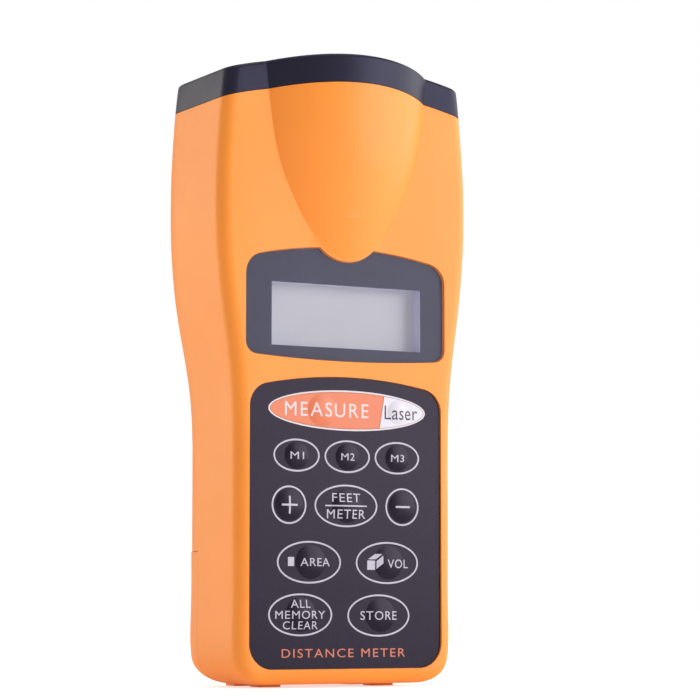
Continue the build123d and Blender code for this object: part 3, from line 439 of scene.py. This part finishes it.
# printed ring: centre x, z, width, height; raised disc: centre x, z, radius; x before the shift
KEY_TABLE = {
    "m1_key": (-14.75, 58.85, 13.3, 8.4, -14.75, 58.8, 3.5),
    "m2_key": (0.0, 58.85, 13.3, 8.4, 0.0, 58.8, 3.5),
    "m3_key": (14.75, 58.85, 13.3, 8.4, 14.75, 58.8, 3.5),
    "plus_key": (-16.9, 46.2, 9.95, 9.75, -16.9, 46.2, 4.05),
    "unit_key": (-0.35, 46.2, 18.4, 10.9, -0.2, 46.2, 4.35),
    "minus_key": (16.25, 46.2, 9.9, 9.75, 16.25, 46.2, 4.05),
    "area_key": (-11.1, 31.7, 18.45, 10.8, -10.7, 31.8, 4.35),
    "volume_key": (11.75, 31.7, 18.5, 10.8, 12.1, 31.8, 4.35),
    "clear_key": (-13.6, 18.4, 18.35, 10.8, -13.5, 18.5, 4.35),
    "store_key": (9.2, 18.2, 18.35, 10.8, 9.7, 18.3, 4.35),
    # these two share one bar-shaped ring
    "measure_key": (0.15, 70.7, 46.1, 10.4, -7.4, 70.6, 4.2),
    "laser_key": (0.15, 70.7, 46.1, 10.4, 15.0, 70.75, 3.1),
}
KEYS = {}
for name, row in KEY_TABLE.items():
    key = Key(*row)
    KEYS[name] = key._replace(x=key.x + KEY_SHIFT, disc_x=key.disc_x + KEY_SHIFT)


# ------------------------------------------------------------------ print tools


def disc_height(key_name, x, z):
    """How far a key's domed disc stands out of the film at x, z (mm), in metres."""
    if key_name is None:
        return 0.0
    key = KEYS[key_name]
    radius = key.disc_radius
    distance = math.hypot(x - key.disc_x, z - key.disc_z)
    if distance >= radius:
        return 0.0
    ball = (radius * radius + DISC_RISE * DISC_RISE) / (2 * DISC_RISE)
    return (math.sqrt(ball * ball - distance * distance) - ball + DISC_RISE) * MM


def triangulate(bm, faces):
    bmesh.ops.triangulate(bm, faces=faces, quad_method="BEAUTY", ngon_method="EAR_CLIP")


def refine(bm, key_name):
    """Cuts the flat print into triangles, fine enough to follow a raised disc."""
    triangulate(bm, bm.faces)
    if key_name is None:
        return
    for _ in range(3):
        if max(edge.calc_length() for edge in bm.edges) < MAX_EDGE:
            break
        bmesh.ops.subdivide_edges(bm, edges=bm.edges, cuts=1, use_grid_fill=True)
        triangulate(bm, [face for face in bm.faces if len(face.verts) > 3])


def thicken(bm, key_name):
    """Turns a flat sheet in x, z (mm) into a closed ink layer over the film and disc."""
    copy = bmesh.ops.duplicate(bm, geom=bm.verts[:] + bm.edges[:] + bm.faces[:])
    underside = {item for item in copy["geom"] if isinstance(item, bmesh.types.BMVert)}
    below = {a: b for a, b in copy["vert_map"].items() if a not in underside}
    border = [edge for edge in bm.edges
              if len(edge.link_faces) == 1 and not underside.intersection(edge.verts)]
    for edge in border:
        a, b = edge.verts
        bm.faces.new((a, b, below[b], below[a]))
    for vert in bm.verts:
        x, z = vert.co.x, vert.co.z
        offset = INK_SINK if vert in underside else -(INK_THICKNESS - INK_SINK)
        vert.co = Vector((x * MM, FILM_Y - disc_height(key_name, x, z) + offset, z * MM))


def finish_print(name, bm, ink, key_name):
    """Gives the flat sheet its thickness and lets it move with its key, or with the casing."""
    thicken(bm, key_name)
    bmesh.ops.recalc_face_normals(bm, faces=bm.faces)
    mesh = bpy.data.meshes.new(name)
    bm.to_mesh(mesh)
    bm.free()
    mesh.materials.append(MATERIALS[ink])
    ob = bpy.data.objects.new(name, mesh)
    bpy.context.scene.collection.objects.link(ob)
    body = "casing" if key_name is None else key_name.replace("_key", "_button")
    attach(ob, body)


def print_ring(name, key, ink):
    """Printed ellipse on the film, as large outside as the key's table entry."""
    bm = bmesh.new()
    rows = []
    for i in range(RING_SEGMENTS):
        angle = 2 * math.pi * i / RING_SEGMENTS
        row = []
        for inset in (0, RING_WIDTH):
            x = key.x + (key.width / 2 - inset) * math.cos(angle)
            z = key.z + (key.height / 2 - inset) * math.sin(angle)
            row.append(bm.verts.new((x, 0, z)))
        rows.append(row)
    for i in range(RING_SEGMENTS):
        outer, inner = rows[i]
        next_outer, next_inner = rows[(i + 1) % RING_SEGMENTS]
        bm.faces.new((outer, next_outer, next_inner, inner))
    finish_print(name, bm, ink, None)


def print_shapes(name, key_name, outlines):
    """Pale patch from closed outlines in x, z (mm) that don't overlap."""
    bm = bmesh.new()
    for outline in outlines:
        bm.faces.new([bm.verts.new((x, 0, z)) for x, z in outline])
    bmesh.ops.remove_doubles(bm, verts=bm.verts, dist=1e-5)
    refine(bm, key_name)
    finish_print(name, bm, "print_pale", key_name)


def text_mesh(name, text, cap_height, spacing):
    """Flat mesh of a line of text, in x and y."""
    curve = bpy.data.curves.new(name + "_curve", "FONT")
    curve.body = text
    curve.align_x = "CENTER"
    curve.align_y = "CENTER"
    curve.size = cap_height / 0.70
    curve.space_character = spacing
    curve.resolution_u = 5
    curve.fill_mode = "FRONT"
    holder = bpy.data.objects.new(name + "_tmp", curve)
    bpy.context.scene.collection.objects.link(holder)
    bpy.context.view_layer.update()
    depsgraph = bpy.context.evaluated_depsgraph_get()
    mesh = bpy.data.meshes.new_from_object(holder.evaluated_get(depsgraph))
    bpy.data.objects.remove(holder)
    bpy.data.curves.remove(curve)
    return mesh


def print_text(name, text, key_name, at, size, spacing=1.12, ink="print_pale"):
    """Printed letters centred at (x, z) and stretched to size (width, height), in mm."""
    width, height = size
    mesh = text_mesh(name, text, height, spacing)
    bm = bmesh.new()
    bm.from_mesh(mesh)
    bpy.data.meshes.remove(mesh)
    bmesh.ops.remove_doubles(bm, verts=bm.verts, dist=1e-5)
    xs = [vert.co.x for vert in bm.verts]
    ys = [vert.co.y for vert in bm.verts]
    left, right, bottom, top = min(xs), max(xs), min(ys), max(ys)
    middle_x, middle_y = (left + right) / 2, (bottom + top) / 2
    scale_x, scale_z = width / (right - left), height / (top - bottom)
    for vert in bm.verts:
        x = at[0] + (vert.co.x - middle_x) * scale_x
        z = at[1] + (vert.co.y - middle_y) * scale_z
        vert.co = Vector((x, 0.0, z))
    refine(bm, key_name)
    finish_print(name, bm, ink, key_name)


def rect(x0, x1, z0, z1):
    return [(x0, z0), (x1, z0), (x1, z1), (x0, z1)]


# ------------------------------------------------------------------ rings and legends


def print_rings():
    for name, key in KEYS.items():
        if name not in ("measure_key", "laser_key"):
            print_ring("ring_" + name, key, "print_pale")
    print_ring("ring_bar", KEYS["measure_key"], "print_white")


def print_top_rows():
    """Legends of the measure and laser bar and the three memory keys."""
    print_text("legend_measure", "MEASURE", "measure_key", at=(-5.6, 70.75), size=(24.4, 3.65),
               spacing=1.2, ink="print_white")
    print_text("legend_laser", "Laser", "laser_key", at=(16.3, 70.65), size=(9.8, 3.6),
               spacing=1.05, ink="print_dark")
    for label in ("M1", "M2", "M3"):
        name = label.lower() + "_key"
        key = KEYS[name]
        print_text("legend_" + name, label, name, at=(key.disc_x, key.disc_z),
                   size=(3.9, 1.85), spacing=1.1)


def print_signs():
    """Plus and minus signs."""
    arm, minus_arm, half = 2.25, 2.1, 0.25
    x, z = KEYS["plus_key"][:2]
    print_shapes("legend_plus", "plus_key", [
        rect(x - arm, x - half, z - half, z + half),
        rect(x + half, x + arm, z - half, z + half),
        rect(x - half, x + half, z - half, z + half),
        rect(x - half, x + half, z + half, z + arm),
        rect(x - half, x + half, z - arm, z - half),
    ])
    x, z = KEYS["minus_key"][:2]
    print_shapes("legend_minus", "minus_key",
                 [rect(x - minus_arm, x + minus_arm, z - half, z + half)])


def print_unit():
    """FEET over METER with a bar between, cut into short steps."""
    steps, step = 20, 0.61
    half_bar = steps * step / 2
    x = KEYS["unit_key"].x
    print_text("legend_feet", "FEET", "unit_key", at=(x, 48.3), size=(8.15, 2.2))
    print_text("legend_meter", "METER", "unit_key", at=(x, 44.1), size=(11.2, 2.3))
    print_shapes("legend_bar", "unit_key", [
        rect(x - half_bar + step * i, x - (half_bar - step) + step * i, 46.03, 46.38)
        for i in range(steps)
    ])


def print_area_and_volume():
    """A rectangle beside AREA and a box with its top and right side beside VOL."""
    print_shapes("legend_area_icon", "area_key", [rect(-16.85, -15.1, 30.7, 33.0)])
    print_text("legend_area", "AREA", "area_key", at=(-9.1, 31.75), size=(8.6, 2.05),
               spacing=1.1)
    print_shapes("legend_box_icon", "volume_key", [
        rect(6.2, 8.5, 29.9, 32.3),
        [(6.45, 32.6), (8.7, 32.6), (10.5, 34.0), (8.5, 34.0)],
        [(8.85, 30.15), (10.75, 31.6), (10.75, 33.6), (8.85, 32.15)],
    ])
    print_text("legend_volume", "VOL", "volume_key", at=(15.15, 31.5), size=(6.3, 2.25),
               spacing=1.08)


def print_bottom_rows():
    """Legends of the clear and store keys and the line at the foot of the keypad."""
    x = KEYS["clear_key"].x
    for word, z, width in (("ALL", 21.2, 5.6), ("MEMORY", 18.4, 14.3), ("CLEAR", 15.75, 10.0)):
        print_text("legend_" + word.lower(), word, "clear_key", at=(x, z), size=(width, 2.05))
    store = KEYS["store_key"]
    print_text("legend_store", "STORE", "store_key", at=(store.x, store.z), size=(10.7, 2.25))
    print_text("legend_foot", "DISTANCE METER", None, at=(-0.6, 8.7), size=(36.0, 2.2),
               spacing=1.2, ink="print_orange")


print_rings()
print_top_rows()
print_signs()
print_unit()
print_area_and_volume()
print_bottom_rows()

# ------------------------------------------------------------------ stage, light, camera


def floor_paper():
    """Near-white paper that looks brighter to the camera than to other rays."""
    m = Mat("floor_paper")
    m.drive("Base Color", m.mottle(m.noise(scale=8.0), (0.90, 0.90, 0.90), (0.92, 0.92, 0.92)))
    m.set(Roughness=0.9, Specular_IOR_Level=0.1, Emission_Color=(1.0, 1.0, 1.0, 1.0))
    rays = m.node("ShaderNodeLightPath")
    glow = m.rescale(rays.outputs["Is Camera Ray"], low=0.18, high=0.60)
    m.drive("Emission Strength", glow)
    return m.material


def build_floor():
    """Wide sheet just under the meter's foot."""
    columns = (-6.0, -1.0, 0.0, 1.0, 6.0)
    rows = (-3.0, -1.0, 0.0, 1.0, 9.0)
    level = -0.1 * MM
    mesh = bpy.data.meshes.new("floor")
    bm = bmesh.new()
    grid = [[bm.verts.new((x, y, level)) for x in columns] for y in rows]
    for near, far in zip(grid, grid[1:]):
        for j in range(len(columns) - 1):
            bm.faces.new((near[j], near[j + 1], far[j + 1], far[j]))
    bm.to_mesh(mesh)
    bm.free()
    floor = bpy.data.objects.new("floor", mesh)
    bpy.context.scene.collection.objects.link(floor)
    mesh.materials.append(floor_paper())


def area_light(name, location, size, power, colour=(1, 1, 1)):
    """Square light aimed at the middle of the meter."""
    target = Vector((0, 0, 0.085))
    light = bpy.data.lights.new(name, "AREA")
    light.energy = power
    light.color = colour
    light.size = size
    ob = bpy.data.objects.new(name, light)
    bpy.context.scene.collection.objects.link(ob)
    aim = (target - Vector(location)).to_track_quat("-Z", "Y").to_matrix().to_4x4()
    ob.matrix_world = Matrix.Translation(location) @ aim


def build_world():
    """White surroundings, full strength to the camera and dimmer as a light source."""
    world = bpy.data.worlds.new("studio")
    bpy.context.scene.world = world
    world.use_nodes = True
    tree = world.node_tree
    background = tree.nodes["Background"]
    fill_inputs(background, dict(Color=(1.0, 1.0, 1.0, 1.0)))
    rays = tree.nodes.new("ShaderNodeLightPath")
    strength = tree.nodes.new("ShaderNodeMapRange")
    fill_inputs(strength, dict(To_Min=0.555, To_Max=1.0))
    tree.links.new(rays.outputs["Is Camera Ray"], strength.inputs["Value"])
    tree.links.new(strength.outputs["Result"], background.inputs["Strength"])


def build_camera():
    """Long lens low at the front left, tilted slightly up."""
    location = (-0.33139, -0.61297, 0.01969)
    right = Vector((0.8738, -0.4863, 0.0)).normalized()
    forward = Vector((0.4840, 0.8697, 0.0972)).normalized()
    up = right.cross(forward).normalized()
    data = bpy.data.cameras.new("camera")
    data.sensor_width = 36.0
    data.lens = 136.76
    data.clip_start = 0.02
    data.clip_end = 20.0
    camera = bpy.data.objects.new("camera", data)
    bpy.context.scene.collection.objects.link(camera)
    rotation = Matrix((right, up, -forward)).transposed().to_4x4()
    camera.matrix_world = Matrix.Translation(location) @ rotation
    bpy.context.scene.camera = camera


build_floor()
area_light("right_box", location=(0.76, -0.88, 0.30), size=0.8, power=8.8)
area_light("right_side_box", location=(1.10, -0.12, 0.30), size=0.8, power=4.6)
area_light("left_back_box", location=(-0.74, 0.84, 0.25), size=0.7, power=4.4,
           colour=(1.0, 0.95, 0.78))
area_light("top_soft", location=(0.1, -0.1, 1.1), size=0.8, power=2.0)
build_world()
build_camera()
bpy.context.scene.view_settings.view_transform = "Standard"
